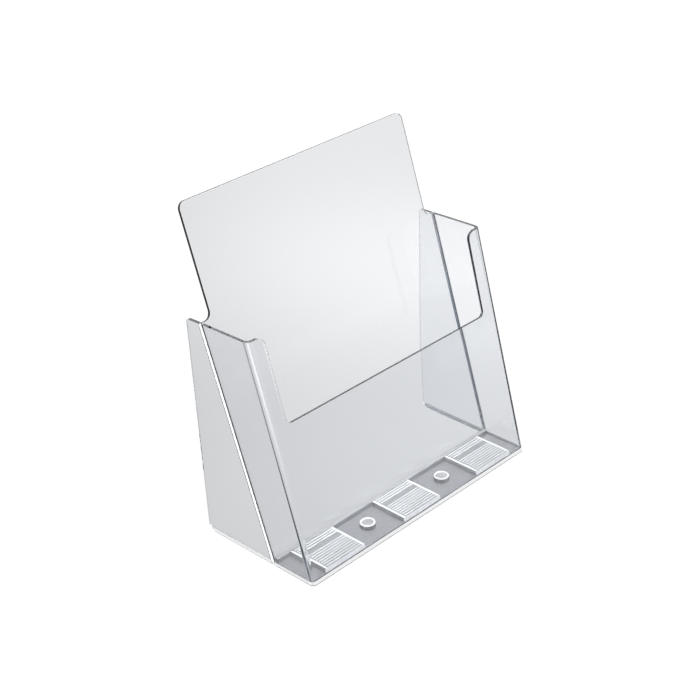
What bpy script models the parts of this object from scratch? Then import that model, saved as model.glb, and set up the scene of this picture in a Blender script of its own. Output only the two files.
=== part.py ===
"""Clear countertop magazine rack for letter-size sheets, made of bonded plastic panels.

A wrap-around pocket front, a leaning back panel and two triangular legs stand on one level.
The pocket floor carries three ribbed treads and two round bosses that hold the sheets up.
Units are metres. +Z is up, the open front faces -Y, and the origin is on the counter under
the middle of the overall box.
"""

import math

import bmesh
import bpy
from mathutils import Vector
from mathutils.geometry import intersect_line_plane

# Overall shape
RIM_HALF_WIDTH = 0.1175             # half the outer width, at the front end of the side rims
RIM_HEIGHT = 0.1734                 # the side rims' height at the front
RIM_FALL = math.radians(1.0)        # how much the side rims drop towards the rear
SIDE_DRAFT = 0.0032                 # each side leans in by this much between rim and counter
FRONT_LEAN = math.radians(14.7)     # the pocket front, from vertical
BACK_LEAN = math.radians(17.04)     # the back panel, from vertical
BACK_FOOT = 0.0401                  # front to the back panel's rear face, at the counter
BACK_LENGTH = 0.2610                # the back panel's rear face, measured up its slope
LEG_REACH = 0.1058                  # front to the legs' rear edges
WALL = 0.0025                       # every panel's thickness
BOND_GAP = 0.0003                   # the bond line between two panels

# Pocket front
RIM_CORNER = 0.0056                 # outer radius where the front turns into the sides
FOOT_CORNER = 0.0034                # the same at the counter
CORNER_STEPS = 10
EAR_WIDTH = 0.0148                  # what the cut-out leaves of the front at each side
CUT_HEIGHT = 0.1117                 # the cut-out's lower edge above the counter
CUT_CORNER = 0.0045                 # radius in the cut-out's lower corners
EAR_CORNER = 0.0058                 # radius on top of each ear, towards the cut-out

# Back panel above its shoulders: letter paper is 216 mm wide
SHEET_HALF_WIDTH = 0.1079
SHEET_DRAFT = 0.0004               # how much narrower each side is at the shoulders
SHOULDER_FILLET = 0.0055
BACK_CORNER = 0.0055

# Legs
LEG_TOP_CORNER = 0.0030
LEG_FOOT_CORNER = 0.0065

# Pocket floor
FLOOR_THICKNESS = 0.0020
RAIL_BEHIND_FRONT = 0.0357          # front to the rail along the back panel's root
TREAD_SPACING = 0.0800              # from one tread's middle to the next
TREAD_HALF_WIDTH = 0.0193           # at the top
TREAD_FLARE = 0.0006                # how much wider each side is at the foot
TREAD_MARGIN = 0.0018               # plain strip beside the ribs
TREAD_TOP = 0.0056                  # the plain surface between the ribs, above the counter
RIB_PITCH = 0.0024
RIB_HALF_WIDTH = 0.0007
RIB_HEIGHT = 0.0006
REAR_RIBS = 3
FRONT_RIBS = 8
RIB_RUN_OUT = 0.0003                # length of a rib's sloping end
RIB_EDGE_MARGIN = 0.0014            # from the tread's edge to its nearest rib's middle
BOSS_OFFSET = 0.0400                # each boss from the middle plane
BOSS_RADIUS = 0.0060
BOSS_DRAFT = 0.0002
BOSS_HEIGHT = 0.0036
BOSS_LIP = 0.0008                   # half the width of the round rim around the dish
BOSS_DISH = 0.0012
BOSS_BEHIND_FRONT = 0.0206          # front to the bosses' middle

ARC_STEPS = 6                       # facets in a quarter turn
BOSS_STEPS = 32

# Worked out from the above
OVERALL_DEPTH = BACK_FOOT + BACK_LENGTH * math.sin(BACK_LEAN)
FRONT_Y = -OVERALL_DEPTH / 2
LEG_REAR_Y = FRONT_Y + LEG_REACH
RAIL_Y = FRONT_Y + RAIL_BEHIND_FRONT
WALL_ALONG_Y = WALL / math.cos(FRONT_LEAN)
BACK_ALONG_Y = WALL / math.cos(BACK_LEAN)
RIM_FRONT = Vector((0, FRONT_Y + RIM_HEIGHT * math.tan(FRONT_LEAN), RIM_HEIGHT))
RIM_NORMAL = Vector((0, math.sin(RIM_FALL), math.cos(RIM_FALL)))


def half_width(z):
    """Outer face of the sides at height z."""
    return RIM_HALF_WIDTH - SIDE_DRAFT * (1 - z / RIM_HEIGHT)


def front_y(z):
    """Outer face of the pocket front at height z."""
    return FRONT_Y + z * math.tan(FRONT_LEAN)


def corner_radius(z):
    """Outer radius of the pocket front's vertical corners at height z."""
    return FOOT_CORNER + (RIM_CORNER - FOOT_CORNER) * z / RIM_HEIGHT


def back_rear_y(z):
    """Rear face of the back panel at height z."""
    return FRONT_Y + BACK_FOOT + z * math.tan(BACK_LEAN)


def back_front_y(z):
    """Front face of the back panel at height z."""
    return back_rear_y(z) - BACK_ALONG_Y


def rim_z(y):
    """Height of the sloping side rim at depth y."""
    return RIM_HEIGHT - (y - RIM_FRONT.y) * math.tan(RIM_FALL)


def arc(center, radius, start, end, steps=ARC_STEPS):
    """Points of a plane arc, with the angles in degrees."""
    angles = [math.radians(start + (end - start) * i / steps) for i in range(steps + 1)]
    return [(center[0] + radius * math.cos(a), center[1] + radius * math.sin(a)) for a in angles]


def mirrored(points):
    """A left half outline followed by its mirror image on the right."""
    return points + [(-x, y) for x, y in reversed(points)]


def plastic(name, color, roughness):
    """Clear polystyrene with a faint tint."""
    material = bpy.data.materials.new(name)
    material.use_nodes = True
    shader = material.node_tree.nodes["Principled BSDF"]
    shader.inputs["Base Color"].default_value = (*color, 1)
    shader.inputs["Roughness"].default_value = roughness
    shader.inputs["Metallic"].default_value = 0
    shader.inputs["IOR"].default_value = 1.59
    shader.inputs["Transmission Weight"].default_value = 0.9
    return material


def make_object(name, mesh_data, material):
    """Turn a bmesh into an object with its faces pointing out."""
    bmesh.ops.recalc_face_normals(mesh_data, faces=mesh_data.faces)
    mesh = bpy.data.meshes.new(name)
    mesh_data.to_mesh(mesh)
    mesh_data.free()
    mesh.materials.append(material)
    mesh.shade_smooth()
    mesh.set_sharp_from_angle(angle=math.radians(30))
    piece = bpy.data.objects.new(name, mesh)
    bpy.context.collection.objects.link(piece)
    return piece


def loft(name, outlines, material):
    """A closed solid through outlines that all have the same number of points."""
    solid = bmesh.new()
    rings = [[solid.verts.new(point) for point in outline] for outline in outlines]
    solid.faces.new(rings[0])
    solid.faces.new(rings[-1])
    for ring_a, ring_b in zip(rings, rings[1:]):
        for i in range(len(ring_a)):
            j = (i + 1) % len(ring_a)
            solid.faces.new((ring_a[i], ring_a[j], ring_b[j], ring_b[i]))
    return make_object(name, solid, material)


def cut(piece, cutter):
    """Take the cutter's volume out of the piece."""
    cutter.hide_render = True
    cutter.display_type = "WIRE"
    boolean = piece.modifiers.new("cut_out", "BOOLEAN")
    boolean.operation = "DIFFERENCE"
    boolean.solver = "EXACT"
    boolean.object = cutter


def pocket_section(z):
    """The pocket front's U-shaped plan at height z: outer path, then inner path back."""
    radius = corner_radius(z)
    corner = (-half_width(z) + radius, front_y(z) + radius)
    rear = back_front_y(z) - BOND_GAP
    outer = [(-half_width(z), rear)]
    outer += arc(corner, radius, 180, 270, CORNER_STEPS)
    inner = [(-half_width(z) + WALL, rear)]
    for x, y in arc((0, 0), 1, 180, 270, CORNER_STEPS):
        inner.append((corner[0] + x * (radius - WALL),
                      corner[1] + y * (radius - WALL_ALONG_Y)))
    outline = mirrored(outer) + list(reversed(mirrored(inner)))
    return [Vector((x, y, z)) for x, y in outline]


def make_pocket_front(material):
    """The front and both pocket sides in one wrap, with the wide cut-out in the front."""
    bottom = pocket_section(0)
    top = []
    for low, high in zip(bottom, pocket_section(RIM_HEIGHT)):
        top.append(intersect_line_plane(low, high, RIM_FRONT, RIM_NORMAL))
    shell = loft("pocket_front", [bottom, top], material)

    up_slope = Vector((0, math.sin(FRONT_LEAN), math.cos(FRONT_LEAN)))
    outward = Vector((0, -math.cos(FRONT_LEAN), math.sin(FRONT_LEAN)))
    foot = Vector((0, FRONT_Y, 0))
    low = CUT_HEIGHT / math.cos(FRONT_LEAN)
    high = RIM_HEIGHT / math.cos(FRONT_LEAN)
    low_x = EAR_WIDTH - half_width(CUT_HEIGHT)
    high_x = EAR_WIDTH - half_width(RIM_HEIGHT)
    clearance = 0.01
    left = [(high_x - EAR_CORNER, high + clearance)]
    left += arc((high_x - EAR_CORNER, high - EAR_CORNER), EAR_CORNER, 90, 0)
    left += arc((low_x + CUT_CORNER, low + CUT_CORNER), CUT_CORNER, 180, 270)
    outline = [foot + Vector((x, 0, 0)) + up_slope * s for x, s in mirrored(left)]
    cutter = loft("front_cut_out_guide",
                  [[point + outward * clearance for point in outline],
                   [point - outward * clearance for point in outline]], material)
    cut(shell, cutter)


def make_back_panel(material):
    """The leaning panel: as wide as the rack below its shoulders, one sheet wide above."""
    up_slope = Vector((0, math.sin(BACK_LEAN), math.cos(BACK_LEAN)))
    forward = Vector((0, -math.cos(BACK_LEAN), math.sin(BACK_LEAN)))
    shoulder_z = rim_z(back_rear_y(RIM_HEIGHT))
    shoulder = shoulder_z / math.cos(BACK_LEAN)
    left = [(-half_width(0), 0), (-half_width(shoulder_z), shoulder)]
    left += arc((SHEET_DRAFT - SHEET_HALF_WIDTH - SHOULDER_FILLET, shoulder + SHOULDER_FILLET),
                SHOULDER_FILLET, -90, 0)
    left += arc((BACK_CORNER - SHEET_HALF_WIDTH, BACK_LENGTH - BACK_CORNER),
                BACK_CORNER, 180, 90)
    foot = Vector((0, back_rear_y(0), 0))
    rear = [foot + Vector((x, 0, 0)) + up_slope * s for x, s in mirrored(left)]
    front = [point + forward * WALL for point in rear]
    for low_corner in (0, -1):
        front[low_corner] = Vector((rear[low_corner].x, back_front_y(0), 0))
    loft("back_panel", [rear, front], material)


def make_leg(name, side, material):
    """A panel behind the back panel, in line with the pocket side; side is -1 or 1."""
    rear_top = rim_z(LEG_REAR_Y)
    seam_rise = rim_z(back_rear_y(RIM_HEIGHT))
    outline = [(back_rear_y(0) + BOND_GAP, 0)]
    outline += arc((LEG_REAR_Y - LEG_FOOT_CORNER, LEG_FOOT_CORNER), LEG_FOOT_CORNER, -90, 0)
    outline += arc((LEG_REAR_Y - LEG_TOP_CORNER, rear_top - LEG_TOP_CORNER),
                   LEG_TOP_CORNER, 0, 90)
    outline.append((back_rear_y(seam_rise) + BOND_GAP, seam_rise))
    outer = [Vector((side * half_width(z), y, z)) for y, z in outline]
    inner = [Vector((side * (half_width(z) - WALL), y, z)) for y, z in outline]
    loft(name, [outer, inner], material)


def floor_section(z, front=None):
    """The pocket floor's plan at height z, from the wall or from a given front edge back."""
    radius = corner_radius(z) - WALL_ALONG_Y - BOND_GAP
    corner_x = -half_width(z) + corner_radius(z)
    corner_y = front_y(z) + corner_radius(z)
    if front is not None:
        corner_y = front + radius
    left = [(corner_x - radius, back_front_y(z) - BOND_GAP)]
    left += arc((corner_x, corner_y), radius, 180, 270)
    return [Vector((x, y, z)) for x, y in mirrored(left)]


def make_pocket_floor(material):
    """The floor plate with a low rail along the back panel's root, as high as the treads."""
    outlines = [floor_section(0), floor_section(FLOOR_THICKNESS),
                floor_section(FLOOR_THICKNESS, RAIL_Y), floor_section(TREAD_TOP, RAIL_Y)]
    loft("pocket_floor", outlines, material)


def rib(middle, height):
    """One rib's round top across the tread, from front to rear."""
    points = []
    for x, y in arc((0, 0), 1, 180, 0):
        points.append((middle + x * RIB_HALF_WIDTH, TREAD_TOP + y * height))
    return points


def tread_section(x, rib_height):
    """The tread's outline seen from the side, with ribs of the given height on top."""
    foot = FLOOR_THICKNESS + BOND_GAP
    inset = WALL_ALONG_Y + BOND_GAP
    front_edge = front_y(TREAD_TOP) + inset
    rear_edge = RAIL_Y - BOND_GAP
    points = [(front_y(foot) + inset, foot), (front_edge, TREAD_TOP)]
    for i in range(FRONT_RIBS):
        points += rib(front_edge + RIB_EDGE_MARGIN + i * RIB_PITCH, rib_height)
    for i in reversed(range(REAR_RIBS)):
        points += rib(rear_edge - RIB_EDGE_MARGIN - i * RIB_PITCH, rib_height)
    points += [(rear_edge, TREAD_TOP), (rear_edge, foot)]
    return [Vector((x, y, z)) for y, z in points]


def make_tread(name, middle_x, material):
    """A raised bar on the pocket floor, with ribs running across between plain margins."""
    stations = [(TREAD_HALF_WIDTH, 0),
                (TREAD_HALF_WIDTH - TREAD_MARGIN, 0),
                (TREAD_HALF_WIDTH - TREAD_MARGIN - RIB_RUN_OUT, RIB_HEIGHT)]
    sections = [tread_section(middle_x - reach, height) for reach, height in stations]
    sections += [tread_section(middle_x + reach, height) for reach, height in reversed(stations)]
    for section, side in ((sections[0], -1), (sections[-1], 1)):
        for low_corner in (0, -1):
            section[low_corner].x += side * TREAD_FLARE
    loft(name, sections, material)


def make_boss(name, middle_x, material):
    """A low round boss with a dished top, turned about its own vertical axis."""
    foot = FLOOR_THICKNESS + BOND_GAP
    lip_height = foot + BOSS_HEIGHT - BOSS_LIP
    lip_middle = BOSS_RADIUS - BOSS_DRAFT - BOSS_LIP
    profile = [(0, foot), (BOSS_RADIUS, foot)]
    profile += arc((lip_middle, lip_height), BOSS_LIP, 0, 180)
    dish_floor = foot + BOSS_HEIGHT - BOSS_DISH
    profile += [(lip_middle - 2 * BOSS_LIP, dish_floor), (0, dish_floor)]

    solid = bmesh.new()
    verts = [solid.verts.new((radius, 0, z)) for radius, z in profile]
    edges = [solid.edges.new(pair) for pair in zip(verts, verts[1:])]
    bmesh.ops.spin(solid, geom=verts + edges, axis=(0, 0, 1), cent=(0, 0, 0),
                   angle=2 * math.pi, steps=BOSS_STEPS, use_duplicate=False)
    bmesh.ops.remove_doubles(solid, verts=solid.verts, dist=1e-6)
    boss = make_object(name, solid, material)
    boss.location = (middle_x, FRONT_Y + BOSS_BEHIND_FRONT, 0)


def main():
    for old in list(bpy.data.objects):
        bpy.data.objects.remove(old, do_unlink=True)

    make_pocket_front(plastic("clear_front", (0.90, 0.92, 0.94), 0.05))
    make_back_panel(plastic("clear_back", (0.88, 0.90, 0.92), 0.05))
    for name, side in (("left_leg", -1), ("right_leg", 1)):
        make_leg(name, side, plastic("clear_" + name, (0.86, 0.89, 0.92), 0.05))
    make_pocket_floor(plastic("smoky_floor", (0.62, 0.63, 0.67), 0.15))
    for name, step in (("left_tread", -1), ("middle_tread", 0), ("right_tread", 1)):
        make_tread(name, step * TREAD_SPACING, plastic("bright_" + name, (0.95, 0.97, 0.97), 0.1))
    for name, side in (("left_boss", -1), ("right_boss", 1)):
        make_boss(name, side * BOSS_OFFSET, plastic("bright_" + name, (0.94, 0.95, 0.96), 0.08))


main()
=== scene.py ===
"""Looks for the clear countertop magazine rack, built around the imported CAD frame."""
import math

import bmesh
import bpy
from mathutils import Matrix, Vector
from mathutils.geometry import intersect_line_plane


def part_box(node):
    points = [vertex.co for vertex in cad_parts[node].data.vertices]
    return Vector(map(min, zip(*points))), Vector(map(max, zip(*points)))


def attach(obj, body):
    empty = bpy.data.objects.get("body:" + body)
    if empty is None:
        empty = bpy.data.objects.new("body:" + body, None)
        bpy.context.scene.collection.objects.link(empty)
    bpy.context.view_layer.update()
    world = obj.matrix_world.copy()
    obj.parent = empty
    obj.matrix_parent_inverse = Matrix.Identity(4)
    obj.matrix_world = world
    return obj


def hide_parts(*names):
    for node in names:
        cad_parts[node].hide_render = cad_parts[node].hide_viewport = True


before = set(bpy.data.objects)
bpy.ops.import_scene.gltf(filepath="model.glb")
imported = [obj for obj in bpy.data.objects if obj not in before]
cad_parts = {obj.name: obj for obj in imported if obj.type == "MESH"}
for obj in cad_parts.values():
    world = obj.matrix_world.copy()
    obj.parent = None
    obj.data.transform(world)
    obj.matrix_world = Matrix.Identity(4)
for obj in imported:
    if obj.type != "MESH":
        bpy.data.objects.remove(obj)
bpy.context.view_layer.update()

# ---- The rack's measures, in metres ----
WALL = 0.0025                       # every panel's thickness
BOND_GAP = 0.0003                   # the bond line between two panels
FRONT_LEAN = math.radians(14.7)     # the pocket front, from vertical
BACK_LEAN = math.radians(17.04)     # the back panel, from vertical
RIM_FALL = math.radians(1.0)        # how much the side rims drop towards the rear
RIM_HALF_WIDTH = 0.1175             # from the middle to a side's outer face at the rim
SIDE_DRAFT = 0.0032                 # each side leans in by this much between rim and counter
RIM_CORNER = 0.0056                 # outer radius where the front turns into the sides
FOOT_CORNER = 0.0034                # the same at the counter
CORNER_STEPS = 24
ARC_STEPS = 12
EAR_WIDTH = 0.0148                  # what the cut-out leaves of the front at each side
CUT_HEIGHT = 0.1117                 # the cut-out's lower edge above the counter
CUT_CORNER = 0.0045
CUT_CLEARANCE = 0.01                # how far the cutter reaches past the front
EAR_CORNER = 0.0058
BACK_FOOT_DEPTH = 0.0401            # from the front's foot to the back panel's rear face
BACK_LENGTH = 0.2610                # up the back panel's slope
SHEET_HALF_WIDTH = 0.1079           # the back panel's half width above its shoulders
SHEET_DRAFT = 0.0004                # how much narrower each side is at the shoulders
SHOULDER_FILLET = 0.0055
BACK_CORNER = 0.0055
LEG_TOP_CORNER = 0.0030
LEG_FOOT_CORNER = 0.0065
FLOOR_THICKNESS = 0.0020
RAIL_DEPTH = 0.0357                 # from the front's foot to the rail at the back panel's root
TREAD_TOP = 0.0056                  # the plain surface between the ribs, above the counter
TREAD_MARGIN = 0.0018               # plain strip beside the ribs
TREAD_FLARE = 0.0006                # how much wider each side is at the foot
RIB_PITCH = 0.0024
RIB_HALF_WIDTH = 0.0007
RIB_RUN_OUT = 0.0003                # length of a rib's sloping end
RIB_HEIGHT = 0.0006
RIB_STEPS = 10
REAR_RIBS = 3
FRONT_RIBS = 8
RIB_EDGE_MARGIN = 0.0014            # from the tread's edge to its nearest rib's middle
BOSS_LIP = 0.0008                   # half the width of the round rim around the dish
BOSS_DISH = 0.0012                  # the dish's depth below the rim
BOSS_DRAFT = 0.0002                 # how far the wall leans in between foot and rim
BOSS_STEPS = 64
FOOT_BAND = 0.0030                  # top of the painted light strip along the foot
FOOT_LINE = 0.0004                  # top of the painted shade line along the very edge
EDGE_ROUND = 0.0004                 # the panels' and the floor plate's small edge radius
TREAD_EDGE_ROUND = 0.00025
BOSS_EDGE_ROUND = 0.0002
EDGE_SEGMENTS = 3
SHARP_ANGLE = math.radians(35)      # edges sharper than this are rounded
ON_FACE = 0.0001                    # tolerance when faces are told apart by height
SQUARE_TO = 0.9                     # a normal's least share along an axis it faces
PLASTIC_IOR = 1.59

front_low, front_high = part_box("pocket_front")
leg_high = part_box("left_leg")[1]
FRONT_Y = front_low[1]
RIM_HEIGHT = front_high[2]
LEG_REAR_Y = leg_high[1]
WALL_ALONG_Y = WALL / math.cos(FRONT_LEAN)
BACK_ALONG_Y = WALL / math.cos(BACK_LEAN)
BACK_FOOT_Y = FRONT_Y + BACK_FOOT_DEPTH
RAIL_Y = FRONT_Y + RAIL_DEPTH
RIM_FRONT = Vector((0, FRONT_Y + RIM_HEIGHT * math.tan(FRONT_LEAN), RIM_HEIGHT))
RIM_NORMAL = Vector((0, math.sin(RIM_FALL), math.cos(RIM_FALL)))


def half_width(z):
    """Outer face of the sides at height z."""
    return RIM_HALF_WIDTH - SIDE_DRAFT * (1 - z / RIM_HEIGHT)


def front_y(z):
    """Outer face of the pocket front at height z."""
    return FRONT_Y + z * math.tan(FRONT_LEAN)


def corner_radius(z):
    """Outer radius of the pocket front's vertical corners at height z."""
    return FOOT_CORNER + (RIM_CORNER - FOOT_CORNER) * z / RIM_HEIGHT


def back_rear_y(z):
    """Rear face of the back panel at height z."""
    return BACK_FOOT_Y + z * math.tan(BACK_LEAN)


def back_front_y(z):
    """Front face of the back panel at height z."""
    return back_rear_y(z) - BACK_ALONG_Y


def rim_z(y):
    """Height of the sloping side rim at depth y."""
    return RIM_HEIGHT - (y - RIM_FRONT.y) * math.tan(RIM_FALL)


def arc(center, radius, start, end, steps=ARC_STEPS):
    """Points of a plane arc, with the angles in degrees."""
    angles = [math.radians(start + (end - start) * i / steps) for i in range(steps + 1)]
    return [(center[0] + radius * math.cos(a), center[1] + radius * math.sin(a)) for a in angles]


def mirrored(points):
    """A left half outline followed by its mirror image on the right."""
    return points + [(-x, y) for x, y in reversed(points)]


# ---- Materials ----
def new_material(name):
    """A node material, with its tree, its shader and its object coordinates."""
    material = bpy.data.materials.new(name)
    material.use_nodes = True
    tree = material.node_tree
    coords = tree.nodes.new("ShaderNodeTexCoord").outputs["Object"]
    return material, tree, tree.nodes["Principled BSDF"], coords


def noise(tree, coords, scale, detail=2):
    """A noise texture's value, with so many cells to the metre."""
    texture = tree.nodes.new("ShaderNodeTexNoise")
    texture.inputs["Scale"].default_value = scale
    texture.inputs["Detail"].default_value = detail
    tree.links.new(coords, texture.inputs["Vector"])
    return texture.outputs["Fac"]


def vary(tree, factor, low, high, socket, start=0.0, end=1.0):
    """Take a socket from low to high while the factor goes from start to end."""
    span = tree.nodes.new("ShaderNodeMapRange")
    span.inputs["From Min"].default_value = start
    span.inputs["From Max"].default_value = end
    span.inputs["To Min"].default_value = low
    span.inputs["To Max"].default_value = high
    tree.links.new(factor, span.inputs["Value"])
    tree.links.new(span.outputs["Result"], socket)


def vary_color(tree, factor, dark, light, socket, start=0.0, end=1.0):
    """Take a colour socket from dark to light while the factor goes from start to end."""
    ramp = tree.nodes.new("ShaderNodeValToRGB")
    first, last = ramp.color_ramp.elements
    first.position = start
    first.color = (*dark, 1)
    last.position = end
    last.color = (*light, 1)
    tree.links.new(factor, ramp.inputs["Fac"])
    tree.links.new(ramp.outputs["Color"], socket)


def add_bump(tree, height, strength, distance, shader):
    """Give the shader the slopes of a height texture, without moving its surface."""
    bump = tree.nodes.new("ShaderNodeBump")
    bump.inputs["Strength"].default_value = strength
    bump.inputs["Distance"].default_value = distance
    tree.links.new(height, bump.inputs["Height"])
    tree.links.new(bump.outputs["Normal"], shader.inputs["Normal"])


def clear_plastic(name, tint, roughness, absorption, waves):
    """Clear polystyrene with a faint haze, slight flow waves and a grey absorption."""
    material, tree, shader, coords = new_material(name)
    shader.inputs["Base Color"].default_value = (*tint, 1)
    shader.inputs["IOR"].default_value = PLASTIC_IOR
    shader.inputs["Transmission Weight"].default_value = 1.0
    haze = noise(tree, coords, scale=30, detail=3)
    vary(tree, haze, 0.5 * roughness, 1.5 * roughness, shader.inputs["Roughness"],
         start=0.35, end=0.75)
    flow = noise(tree, coords, scale=14, detail=1)
    add_bump(tree, flow, strength=waves, distance=0.001, shader=shader)
    volume = tree.nodes.new("ShaderNodeVolumeAbsorption")
    volume.inputs["Color"].default_value = (0.70, 0.74, 0.80, 1)
    volume.inputs["Density"].default_value = absorption
    tree.links.new(volume.outputs["Volume"], tree.nodes["Material Output"].inputs["Volume"])
    return material


def painted_foot_light(name, dark, light):
    """Painted light for the foot: a white to grey colour standing in for the light that is caught
    there.
    """
    material, tree, shader, coords = new_material(name)
    shader.inputs["Roughness"].default_value = 0.7
    grain = noise(tree, coords, scale=900)
    vary(tree, grain, dark, light, shader.inputs["Base Color"])
    return material


def painted_highlight_crest(name):
    """Painted highlight on the faces that carry the sheets: a near-white colour for the light
    they catch, with worn, slightly frosted variation.
    """
    material, tree, shader, coords = new_material(name)
    shader.inputs["IOR"].default_value = PLASTIC_IOR
    wear = noise(tree, coords, scale=260)
    vary_color(tree, wear, (0.86, 0.865, 0.87), (0.98, 0.985, 0.99),
               shader.inputs["Base Color"], start=0.25, end=0.75)
    vary(tree, wear, 0.25, 0.5, shader.inputs["Roughness"])
    return material


def painted_end_shade(name):
    """Painted shade: a dark colour standing in for the total reflection at a panel's end face,
    where no light comes through.
    """
    material, tree, shader, coords = new_material(name)
    shader.inputs["IOR"].default_value = PLASTIC_IOR
    streak = noise(tree, coords, scale=90)
    vary_color(tree, streak, (0.001, 0.002, 0.006), (0.012, 0.018, 0.04),
               shader.inputs["Base Color"])
    vary(tree, streak, 0.25, 0.45, shader.inputs["Roughness"])
    return material


def stippled_grey(name, dark, light):
    """A fine-grained matt face whose grain runs between two tones; the darker greys given by
    callers are painted shade, the palest painted light.
    """
    material, tree, shader, coords = new_material(name)
    shader.inputs["IOR"].default_value = PLASTIC_IOR
    shader.inputs["Transmission Weight"].default_value = 0.5
    grain = noise(tree, coords, scale=700, detail=3)
    vary_color(tree, grain, dark, light, shader.inputs["Base Color"], start=0.3, end=0.7)
    vary(tree, grain, 0.35, 0.55, shader.inputs["Roughness"])
    add_bump(tree, grain, strength=0.15, distance=0.0002, shader=shader)
    return material


panel = clear_plastic("clear_polystyrene", tint=(0.99, 0.99, 0.99), roughness=0.01,
                      absorption=80.0, waves=0.02)
smoky = clear_plastic("floor_polystyrene", tint=(0.97, 0.975, 0.98), roughness=0.05,
                      absorption=50.0, waves=0.05)
bright = clear_plastic("tread_polystyrene", tint=(0.97, 0.98, 0.985), roughness=0.05,
                       absorption=20.0, waves=0.03)
knob = clear_plastic("boss_polystyrene", tint=(0.96, 0.965, 0.97), roughness=0.03,
                     absorption=20.0, waves=0.02)
# painted light: the white underside stands in for the light caught at the foot
painted_light_white = painted_foot_light("foot_painted_light", 0.86, 1.0)
# painted light along the foot's band, lighter on the sides than on the front
painted_front_band = painted_foot_light("foot_band_painted_light", 0.36, 0.44)
painted_side_band = painted_foot_light("side_band_painted_light", 0.50, 0.62)
# painted shade and light in stippled grey: darkest on the floor plate, rail front and boss wall,
# mid grey in the grooves, palest on the rail top, boss dish and underside
painted_shade_stipple = stippled_grey("stippled_floor_shade", (0.28, 0.284, 0.305), (0.36, 0.364, 0.385))
painted_shade_groove = stippled_grey("stippled_groove_shade", (0.42, 0.425, 0.435), (0.50, 0.505, 0.515))
painted_light_pale = stippled_grey("stippled_rail_light", (0.60, 0.605, 0.615), (0.70, 0.705, 0.715))
# painted highlight on rib crests, tread margins and fronts, and boss rims
crest_highlight = painted_highlight_crest("painted_highlight_crest")
# painted shade on the pocket's rear end faces and along the foot's very edge
end_face_shade = painted_end_shade("painted_shade_line")


# ---- Finishes on chosen faces, most of them painted light and shade ----
def add_finishes(piece, *materials):
    """Append the materials to the piece's slots and give back their slot numbers."""
    first = len(piece.data.materials)
    for material in materials:
        piece.data.materials.append(material)
    return range(first, first + len(materials))


def paint_light_on_underside(piece):
    """Paint light in white onto the piece's lowest flat faces."""
    white, = add_finishes(piece, painted_light_white)
    lowest = min(vertex.co.z for vertex in piece.data.vertices)
    for face in piece.data.polygons:
        if face.normal.z < -SQUARE_TO and face.center.z < lowest + ON_FACE:
            face.material_index = white


def paint_light_on_side_edges(piece):
    """Paint light onto the back panel's side edges below its shoulders, in its underside's white.
    """
    white = piece.data.materials.find(painted_light_white.name)
    for face in piece.data.polygons:
        if abs(face.center.x) > half_width(0) - WALL and abs(face.normal.x) > SQUARE_TO:
            face.material_index = white


def paint_light_on_foot_band(piece):
    """Paint light onto the outer faces' lowest strip, lighter on the sides than on the front,
    with a painted shade line along the very edge.
    """
    front, side, dark = add_finishes(piece, painted_front_band, painted_side_band, end_face_shade)
    for face in piece.data.polygons:
        normal = face.normal
        on_side = abs(normal.x) > 0.3 and abs(face.center.x) > half_width(0) - 0.5 * WALL
        on_front = normal.y < -0.5 and face.center.y < FRONT_Y + WALL
        top = max(piece.data.vertices[i].co.z for i in face.vertices)
        if not (on_side or on_front) or top > FOOT_BAND + ON_FACE:
            continue
        if top < FOOT_LINE + ON_FACE:
            face.material_index = dark
        else:
            face.material_index = side if abs(normal.x) > SQUARE_TO else front


def darken_rear_ends(piece):
    """Paint shade onto the end faces where the pocket's sides meet the back panel."""
    dark, = add_finishes(piece, end_face_shade)
    for face in piece.data.polygons:
        x, y, z = face.center
        at_side = abs(x) > half_width(z) - WALL
        at_back = y > back_front_y(z) - 0.4 * WALL
        if at_side and at_back and face.normal.y > 0.8:
            face.material_index = dark


def finish_floor(piece):
    """Paint shade in stippled grey onto the plate's top and the rail's front; the rail's top gets
    a paler painted light tone.
    """
    grey, light = add_finishes(piece, painted_shade_stipple, painted_light_pale)
    for face in piece.data.polygons:
        rise = face.center.z - FLOOR_THICKNESS
        faces_up = face.normal.z > SQUARE_TO
        on_plate = faces_up and abs(rise) < 0.5 * EDGE_ROUND
        on_rail = rise > 0.5 * EDGE_ROUND
        if on_rail and faces_up:
            face.material_index = light
        elif on_plate or (on_rail and face.normal.y < 0.5):
            face.material_index = grey


def finish_tread(piece):
    """Paint highlight onto the ribs' crests, the plain margins and the front face, and paint
    shade in grey into the grooves.
    """
    white, grey = add_finishes(piece, crest_highlight, painted_shade_groove)
    xs = [vertex.co.x for vertex in piece.data.vertices]
    middle = (min(xs) + max(xs)) / 2
    ribbed_half = (max(xs) - min(xs)) / 2 - TREAD_FLARE - TREAD_MARGIN
    for face in piece.data.polygons:
        rise = face.center.z - TREAD_TOP
        on_crest = rise > 0.7 * RIB_HEIGHT
        on_top = rise > -ON_FACE and face.normal.z > 0.1
        beside_ribs = abs(face.center.x - middle) > ribbed_half
        on_margin = on_top and beside_ribs and face.normal.z > SQUARE_TO
        if on_crest or on_margin or face.normal.y < -SQUARE_TO:
            face.material_index = white
        elif on_top:
            face.material_index = grey


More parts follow.
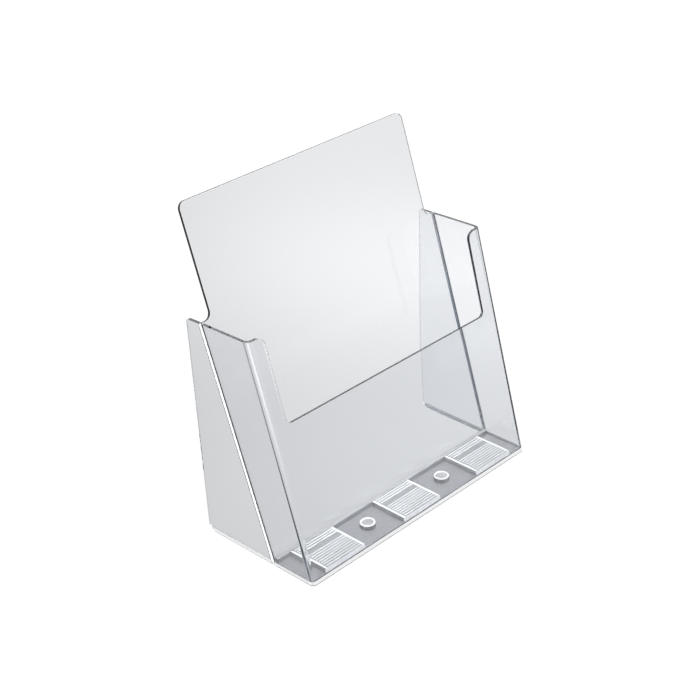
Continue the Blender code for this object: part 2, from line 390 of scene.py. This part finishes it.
def finish_boss(piece):
    """A painted highlight on the boss's rim, painted shade in grey on its wall, and a paler
    painted light tone on its dish and underside.
    """
    white, grey, light = add_finishes(piece, crest_highlight, painted_shade_stipple, painted_light_pale)
    xs, ys, zs = zip(*(vertex.co for vertex in piece.data.vertices))
    middle = Vector(((min(xs) + max(xs)) / 2, (min(ys) + max(ys)) / 2))
    radius = (max(xs) - min(xs)) / 2
    dish_radius = radius - 2.2 * BOSS_LIP
    rim_foot = max(zs) - 0.7 * BOSS_LIP
    for face in piece.data.polygons:
        reach = (face.center.xy - middle).length
        on_rim = reach > dish_radius and face.center.z > rim_foot
        in_dish = reach < dish_radius and face.normal.z > 0.5
        if on_rim:
            face.material_index = white
        elif in_dish or face.normal.z < -SQUARE_TO:
            face.material_index = light
        elif reach > radius - 2 * BOSS_DRAFT:
            face.material_index = grey


# ---- Meshes ----
def round_edges(piece, width):
    """Round the piece's sharp edges, with shading normals that keep its flats flat."""
    bevel = piece.modifiers.new("edge_round", "BEVEL")
    bevel.width = width
    bevel.segments = EDGE_SEGMENTS
    bevel.limit_method = "ANGLE"
    bevel.angle_limit = SHARP_ANGLE
    bevel.harden_normals = True


def mark_foot(mesh_data):
    """Cut the faces along the tops of the foot's painted shade line and painted light band, so
    each can take its own colour.
    """
    for height in (FOOT_LINE, FOOT_BAND):
        geometry = mesh_data.verts[:] + mesh_data.edges[:] + mesh_data.faces[:]
        bmesh.ops.bisect_plane(mesh_data, geom=geometry, plane_co=(0, 0, height),
                               plane_no=(0, 0, 1), dist=1e-6)


def make_object(name, mesh_data, material, edge_radius=EDGE_ROUND):
    """Turn a bmesh into an object with its faces pointing out and its edges rounded."""
    bmesh.ops.recalc_face_normals(mesh_data, faces=mesh_data.faces)
    if material == panel:
        mark_foot(mesh_data)
    mesh = bpy.data.meshes.new(name)
    mesh_data.to_mesh(mesh)
    mesh_data.free()
    mesh.materials.append(material)
    mesh.shade_smooth()
    piece = bpy.data.objects.new(name, mesh)
    bpy.context.collection.objects.link(piece)
    if edge_radius:
        round_edges(piece, edge_radius)
    return piece


def loft(name, outlines, material, edge_radius=EDGE_ROUND):
    """A closed solid through outlines that all have the same number of points."""
    solid = bmesh.new()
    rings = [[solid.verts.new(point) for point in outline] for outline in outlines]
    solid.faces.new(rings[0])
    solid.faces.new(rings[-1])
    for ring_a, ring_b in zip(rings, rings[1:]):
        for i in range(len(ring_a)):
            j = (i + 1) % len(ring_a)
            solid.faces.new((ring_a[i], ring_a[j], ring_b[j], ring_b[i]))
    return make_object(name, solid, material, edge_radius)


def bake_modifiers(piece):
    """Replace the piece's mesh by what its modifiers make of it."""
    graph = bpy.context.evaluated_depsgraph_get()
    graph.update()
    shaped = bpy.data.meshes.new_from_object(piece.evaluated_get(graph))
    piece.modifiers.clear()
    piece.data = shaped


# ---- Pieces ----
def pocket_section(z):
    """The pocket front's U-shaped plan at height z: outer path, then inner path back."""
    radius = corner_radius(z)
    corner = (-half_width(z) + radius, front_y(z) + radius)
    rear = back_front_y(z) - BOND_GAP
    outer = [(-half_width(z), rear)]
    outer += arc(corner, radius, 180, 270, CORNER_STEPS)
    inner = [(-half_width(z) + WALL, rear)]
    for x, y in arc((0, 0), 1, 180, 270, CORNER_STEPS):
        inner.append((corner[0] + x * (radius - WALL),
                      corner[1] + y * (radius - WALL_ALONG_Y)))
    outline = mirrored(outer) + list(reversed(mirrored(inner)))
    return [Vector((x, y, z)) for x, y in outline]


def make_pocket_front(material):
    """The front and both pocket sides in one wrap, with the wide cut-out in the front."""
    bottom = pocket_section(0)
    top = []
    for low, high in zip(bottom, pocket_section(RIM_HEIGHT)):
        top.append(intersect_line_plane(low, high, RIM_FRONT, RIM_NORMAL))
    shell = loft("pocket_front_moulding", [bottom, top], material, 0)
    up_slope = Vector((0, math.sin(FRONT_LEAN), math.cos(FRONT_LEAN)))
    outward = Vector((0, -math.cos(FRONT_LEAN), math.sin(FRONT_LEAN)))
    foot = Vector((0, FRONT_Y, 0))
    low = CUT_HEIGHT / math.cos(FRONT_LEAN)
    high = RIM_HEIGHT / math.cos(FRONT_LEAN)
    low_x = EAR_WIDTH - half_width(CUT_HEIGHT)
    high_x = EAR_WIDTH - half_width(RIM_HEIGHT)
    left = [(high_x - EAR_CORNER, high + CUT_CLEARANCE)]
    left += arc((high_x - EAR_CORNER, high - EAR_CORNER), EAR_CORNER, 90, 0)
    left += arc((low_x + CUT_CORNER, low + CUT_CORNER), CUT_CORNER, 180, 270)
    outline = [foot + Vector((x, 0, 0)) + up_slope * s for x, s in mirrored(left)]
    cutter = loft("cutter", [[point + outward * CUT_CLEARANCE for point in outline],
                             [point - outward * CUT_CLEARANCE for point in outline]], material, 0)
    boolean = shell.modifiers.new("cut_out", "BOOLEAN")
    boolean.operation = "DIFFERENCE"
    boolean.solver = "EXACT"
    boolean.object = cutter
    round_edges(shell, EDGE_ROUND)
    bake_modifiers(shell)
    bpy.data.objects.remove(cutter, do_unlink=True)
    return shell


def make_back_panel(material):
    """The leaning panel: as wide as the rack below its shoulders, one sheet wide above."""
    up_slope = Vector((0, math.sin(BACK_LEAN), math.cos(BACK_LEAN)))
    forward = Vector((0, -math.cos(BACK_LEAN), math.sin(BACK_LEAN)))
    shoulder_z = rim_z(back_rear_y(RIM_HEIGHT))
    shoulder = shoulder_z / math.cos(BACK_LEAN)
    left = [(-half_width(0), 0), (-half_width(shoulder_z), shoulder)]
    left += arc((SHEET_DRAFT - SHEET_HALF_WIDTH - SHOULDER_FILLET, shoulder + SHOULDER_FILLET),
                SHOULDER_FILLET, -90, 0)
    left += arc((BACK_CORNER - SHEET_HALF_WIDTH, BACK_LENGTH - BACK_CORNER),
                BACK_CORNER, 180, 90)
    foot = Vector((0, back_rear_y(0), 0))
    rear = [foot + Vector((x, 0, 0)) + up_slope * s for x, s in mirrored(left)]
    front = [point + forward * WALL for point in rear]
    for low_corner in (0, -1):
        front[low_corner] = Vector((rear[low_corner].x, back_front_y(0), 0))
    return loft("back_panel_moulding", [rear, front], material)


def make_leg(name, side, material):
    """A panel behind the back panel, in line with the pocket side; side is -1 or 1."""
    rear_top = rim_z(LEG_REAR_Y)
    seam_rise = rim_z(back_rear_y(RIM_HEIGHT))
    outline = [(back_rear_y(0) + BOND_GAP, 0)]
    outline += arc((LEG_REAR_Y - LEG_FOOT_CORNER, LEG_FOOT_CORNER), LEG_FOOT_CORNER, -90, 0)
    outline += arc((LEG_REAR_Y - LEG_TOP_CORNER, rear_top - LEG_TOP_CORNER),
                   LEG_TOP_CORNER, 0, 90)
    outline.append((back_rear_y(seam_rise) + BOND_GAP, seam_rise))
    outer = [Vector((side * half_width(z), y, z)) for y, z in outline]
    inner = [Vector((side * (half_width(z) - WALL), y, z)) for y, z in outline]
    return loft(name, [outer, inner], material)


def floor_section(z, front=None):
    """The pocket floor's plan at height z, from the wall or from a given front edge back."""
    radius = corner_radius(z) - WALL_ALONG_Y - BOND_GAP
    corner_x = -half_width(z) + corner_radius(z)
    corner_y = front_y(z) + corner_radius(z)
    if front is not None:
        corner_y = front + radius
    left = [(corner_x - radius, back_front_y(z) - BOND_GAP)]
    left += arc((corner_x, corner_y), radius, 180, 270)
    return [Vector((x, y, z)) for x, y in mirrored(left)]


def make_pocket_floor(material):
    """The floor plate with a low rail along the back panel's root, as high as the treads."""
    outlines = [floor_section(0), floor_section(FLOOR_THICKNESS),
                floor_section(FLOOR_THICKNESS, RAIL_Y), floor_section(TREAD_TOP, RAIL_Y)]
    return loft("pocket_floor_plate", outlines, material)


def rib(middle, height):
    """One rib's round top across the tread, from front to rear."""
    points = []
    for x, y in arc((0, 0), 1, 180, 0, RIB_STEPS):
        points.append((middle + x * RIB_HALF_WIDTH, TREAD_TOP + y * height))
    return points


def tread_section(x, rib_height):
    """The tread's outline seen from the side, with ribs of the given height on top."""
    foot = FLOOR_THICKNESS + BOND_GAP
    inset = WALL_ALONG_Y + BOND_GAP
    front_edge = front_y(TREAD_TOP) + inset
    rear_edge = RAIL_Y - BOND_GAP
    points = [(front_y(foot) + inset, foot), (front_edge, TREAD_TOP)]
    for i in range(FRONT_RIBS):
        points += rib(front_edge + RIB_EDGE_MARGIN + i * RIB_PITCH, rib_height)
    for i in reversed(range(REAR_RIBS)):
        points += rib(rear_edge - RIB_EDGE_MARGIN - i * RIB_PITCH, rib_height)
    points += [(rear_edge, TREAD_TOP), (rear_edge, foot)]
    return [Vector((x, y, z)) for y, z in points]


def make_tread(name, node, material):
    """A raised bar on the pocket floor, with ribs running across between plain margins."""
    low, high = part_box(node)
    middle_x = (low[0] + high[0]) / 2
    half = (high[0] - low[0]) / 2 - TREAD_FLARE
    stations = [(half, 0), (half - TREAD_MARGIN, 0),
                (half - TREAD_MARGIN - RIB_RUN_OUT, RIB_HEIGHT)]
    sections = [tread_section(middle_x - reach, height) for reach, height in stations]
    sections += [tread_section(middle_x + reach, height) for reach, height in reversed(stations)]
    for section, side in ((sections[0], -1), (sections[-1], 1)):
        for low_corner in (0, -1):
            section[low_corner].x += side * TREAD_FLARE
    return loft(name, sections, material, TREAD_EDGE_ROUND)


def make_boss(name, node, material):
    """A low round boss with a dished top, turned about its own vertical axis."""
    low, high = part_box(node)
    radius = (high[0] - low[0]) / 2
    foot = low[2]
    top = high[2]
    lip_middle = radius - BOSS_DRAFT - BOSS_LIP
    profile = [(0, foot), (radius, foot)]
    profile += arc((lip_middle, top - BOSS_LIP), BOSS_LIP, 0, 180)
    profile += [(lip_middle - 2 * BOSS_LIP, top - BOSS_DISH), (0, top - BOSS_DISH)]
    solid = bmesh.new()
    verts = [solid.verts.new((r, 0, z)) for r, z in profile]
    edges = [solid.edges.new(pair) for pair in zip(verts, verts[1:])]
    bmesh.ops.spin(solid, geom=verts + edges, axis=(0, 0, 1), cent=(0, 0, 0),
                   angle=2 * math.pi, steps=BOSS_STEPS, use_duplicate=False)
    bmesh.ops.remove_doubles(solid, verts=solid.verts, dist=1e-6)
    bmesh.ops.translate(solid, verts=solid.verts,
                        vec=((low[0] + high[0]) / 2, (low[1] + high[1]) / 2, 0))
    return make_object(name, solid, material, BOSS_EDGE_ROUND)


pieces = [
    (make_pocket_front(panel), "pocket_front", "clear_panel"),
    (make_back_panel(panel), "back_panel", "clear_panel"),
    (make_leg("left_leg_moulding", -1, panel), "left_leg", "clear_panel"),
    (make_leg("right_leg_moulding", 1, panel), "right_leg", "clear_panel"),
    (make_pocket_floor(smoky), "pocket_floor", "smoky_floor"),
]
for node in ("left_tread", "middle_tread", "right_tread"):
    pieces.append((make_tread(node + "_ribbed", node, bright), node, "ribbed_tread"))
for node in ("left_boss", "right_boss"):
    pieces.append((make_boss(node + "_dished", node, knob), node, "round_boss"))
for piece, node, slot in pieces:
    bake_modifiers(piece)
    if slot in ("clear_panel", "ribbed_tread"):
        paint_light_on_underside(piece)
    if node == "back_panel":
        paint_light_on_side_edges(piece)
    if slot == "clear_panel":
        paint_light_on_foot_band(piece)
    if node == "pocket_front":
        darken_rear_ends(piece)
    if slot == "smoky_floor":
        finish_floor(piece)
    elif slot == "ribbed_tread":
        finish_tread(piece)
    elif slot == "round_boss":
        finish_boss(piece)
    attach(piece, "root")
    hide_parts(node)

# ---- Studio: floor, world, camera ----
STUDIO_HALF_WIDTH = 4.0
FLOOR_DROP = 0.0004                 # the paper lies this far under the rack
WHITE_SEEN = 1.05                   # what the camera sees of the paper and the room directly
PAPER_GLOW = 0.52                   # what the paper gives everywhere to the plastic
# Soft pools of light on the paper: centre, spread, strength
PAPER_POOLS = [((0.0, 0.0), 0.12, 0.19), ((0.25, 0.25), 0.18, 0.30), ((0.45, -0.05), 0.20, 0.42),
               ((0.6, 0.6), 0.30, 0.32), ((2.6, -3.3), 1.5, 0.30),
               ((-0.9, -0.85), 0.36, 4.0)]
# Large soft lights in the room: direction, sharpness, strength
ROOM_LIGHTS = [((0, 0, 1), 3, 8.2), ((1, 0, 0.3), 4, 0.6), ((0.6, -0.7, 0.4), 8, 0.55),
               ((-0.7, -0.7, 0.15), 9, 2.2)]
LIGHT_TINT = (0.985, 0.992, 1.0, 1)

CAMERA_AIM = Vector((-0.02257, -0.01129, 0.12880))
CAMERA_AZIMUTH = math.radians(-44.988)
CAMERA_ELEVATION = math.radians(28.660)
CAMERA_ROLL = math.radians(-2.463)
CAMERA_DISTANCE = 1.1186
CAMERA_LENS = 82.84                 # millimetres, on a sensor 36 millimetres wide


def math_node(tree, operation, first, second=None):
    """A Math node; an argument is a number or another node's output."""
    node = tree.nodes.new("ShaderNodeMath")
    node.operation = operation
    for socket, value in zip(node.inputs, (first, second)):
        if isinstance(value, (int, float)):
            socket.default_value = value
        elif value is not None:
            tree.links.new(value, socket)
    return node.outputs["Value"]


def paper_pool(tree, position, center, spread, strength):
    """A round pool of light that fades out smoothly with distance."""
    distance = tree.nodes.new("ShaderNodeVectorMath")
    distance.operation = "DISTANCE"
    tree.links.new(position, distance.inputs[0])
    distance.inputs[1].default_value = (*center, -FLOOR_DROP)
    square = math_node(tree, "POWER", distance.outputs["Value"], 2.0)
    falloff = math_node(tree, "MULTIPLY", square, -0.5 / spread ** 2)
    return math_node(tree, "MULTIPLY", math_node(tree, "EXPONENT", falloff), strength)


def room_light(tree, direction, axis, sharpness, strength):
    """A large soft light around one direction of the room."""
    along = tree.nodes.new("ShaderNodeVectorMath")
    along.operation = "DOT_PRODUCT"
    tree.links.new(direction, along.inputs[0])
    along.inputs[1].default_value = Vector(axis).normalized()
    away = math_node(tree, "SUBTRACT", along.outputs["Value"], 1.0)
    falloff = math_node(tree, "MULTIPLY", away, sharpness)
    return math_node(tree, "MULTIPLY", math_node(tree, "EXPONENT", falloff), strength)


def shaded_unless_seen(tree, emitter, lights, output):
    """Light the scene with the sum of the lights, and show the camera a plain white instead."""
    total, *others = lights
    for light in others:
        total = math_node(tree, "ADD", light, total)
    rays = tree.nodes.new("ShaderNodeLightPath")
    lit = tree.nodes.new(emitter)
    lit.inputs["Color"].default_value = LIGHT_TINT
    tree.links.new(total, lit.inputs["Strength"])
    plain = tree.nodes.new(emitter)
    plain.inputs["Color"].default_value = (1, 1, 1, 1)
    plain.inputs["Strength"].default_value = WHITE_SEEN
    mix = tree.nodes.new("ShaderNodeMixShader")
    tree.links.new(rays.outputs["Is Camera Ray"], mix.inputs["Fac"])
    tree.links.new(lit.outputs[0], mix.inputs[1])
    tree.links.new(plain.outputs[0], mix.inputs[2])
    tree.links.new(mix.outputs["Shader"], output.inputs["Surface"])


def make_studio_floor():
    """A wide sheet of paper, white to the camera and softly lit in pools for the plastic."""
    half = STUDIO_HALF_WIDTH
    mesh = bpy.data.meshes.new("studio_floor")
    corners = [(-half, -half), (half, -half), (half, half), (-half, half)]
    mesh.from_pydata([(x, y, -FLOOR_DROP) for x, y in corners], [], [(0, 1, 2, 3)])
    floor = bpy.data.objects.new("studio_floor", mesh)
    bpy.context.collection.objects.link(floor)
    paper = bpy.data.materials.new("studio_paper")
    paper.use_nodes = True
    tree = paper.node_tree
    tree.nodes.remove(tree.nodes["Principled BSDF"])
    position = tree.nodes.new("ShaderNodeTexCoord").outputs["Object"]
    pools = [paper_pool(tree, position, *pool) for pool in PAPER_POOLS]
    shaded_unless_seen(tree, "ShaderNodeEmission", [PAPER_GLOW, *pools],
                       tree.nodes["Material Output"])
    mesh.materials.append(paper)
    return floor


def make_world():
    """A room that is white to the camera, with a few large soft lights for the plastic."""
    world = bpy.data.worlds.new("studio")
    bpy.context.scene.world = world
    world.use_nodes = True
    tree = world.node_tree
    tree.nodes.remove(tree.nodes["Background"])
    direction = tree.nodes.new("ShaderNodeTexCoord").outputs["Generated"]
    lights = [room_light(tree, direction, *light) for light in ROOM_LIGHTS]
    shaded_unless_seen(tree, "ShaderNodeBackground", lights, tree.nodes["World Output"])


def make_camera():
    """The camera, placed by the direction and distance that it looks from."""
    away = Vector((math.sin(CAMERA_AZIMUTH) * math.cos(CAMERA_ELEVATION),
                   -math.cos(CAMERA_AZIMUTH) * math.cos(CAMERA_ELEVATION),
                   math.sin(CAMERA_ELEVATION)))
    camera_data = bpy.data.cameras.new("camera")
    camera_data.lens = CAMERA_LENS
    camera_data.sensor_width = 36
    camera = bpy.data.objects.new("camera", camera_data)
    bpy.context.collection.objects.link(camera)
    turn = away.to_track_quat("Z", "Y").to_matrix().to_4x4()
    turn @= Matrix.Rotation(CAMERA_ROLL, 4, "Z")
    camera.matrix_world = Matrix.Translation(CAMERA_AIM + away * CAMERA_DISTANCE) @ turn
    return camera


floor = make_studio_floor()
make_world()

scene = bpy.context.scene
scene.camera = make_camera()
scene.cycles.max_bounces = 40
scene.cycles.transmission_bounces = 32
scene.cycles.glossy_bounces = 24
scene.view_settings.view_transform = "Standard"
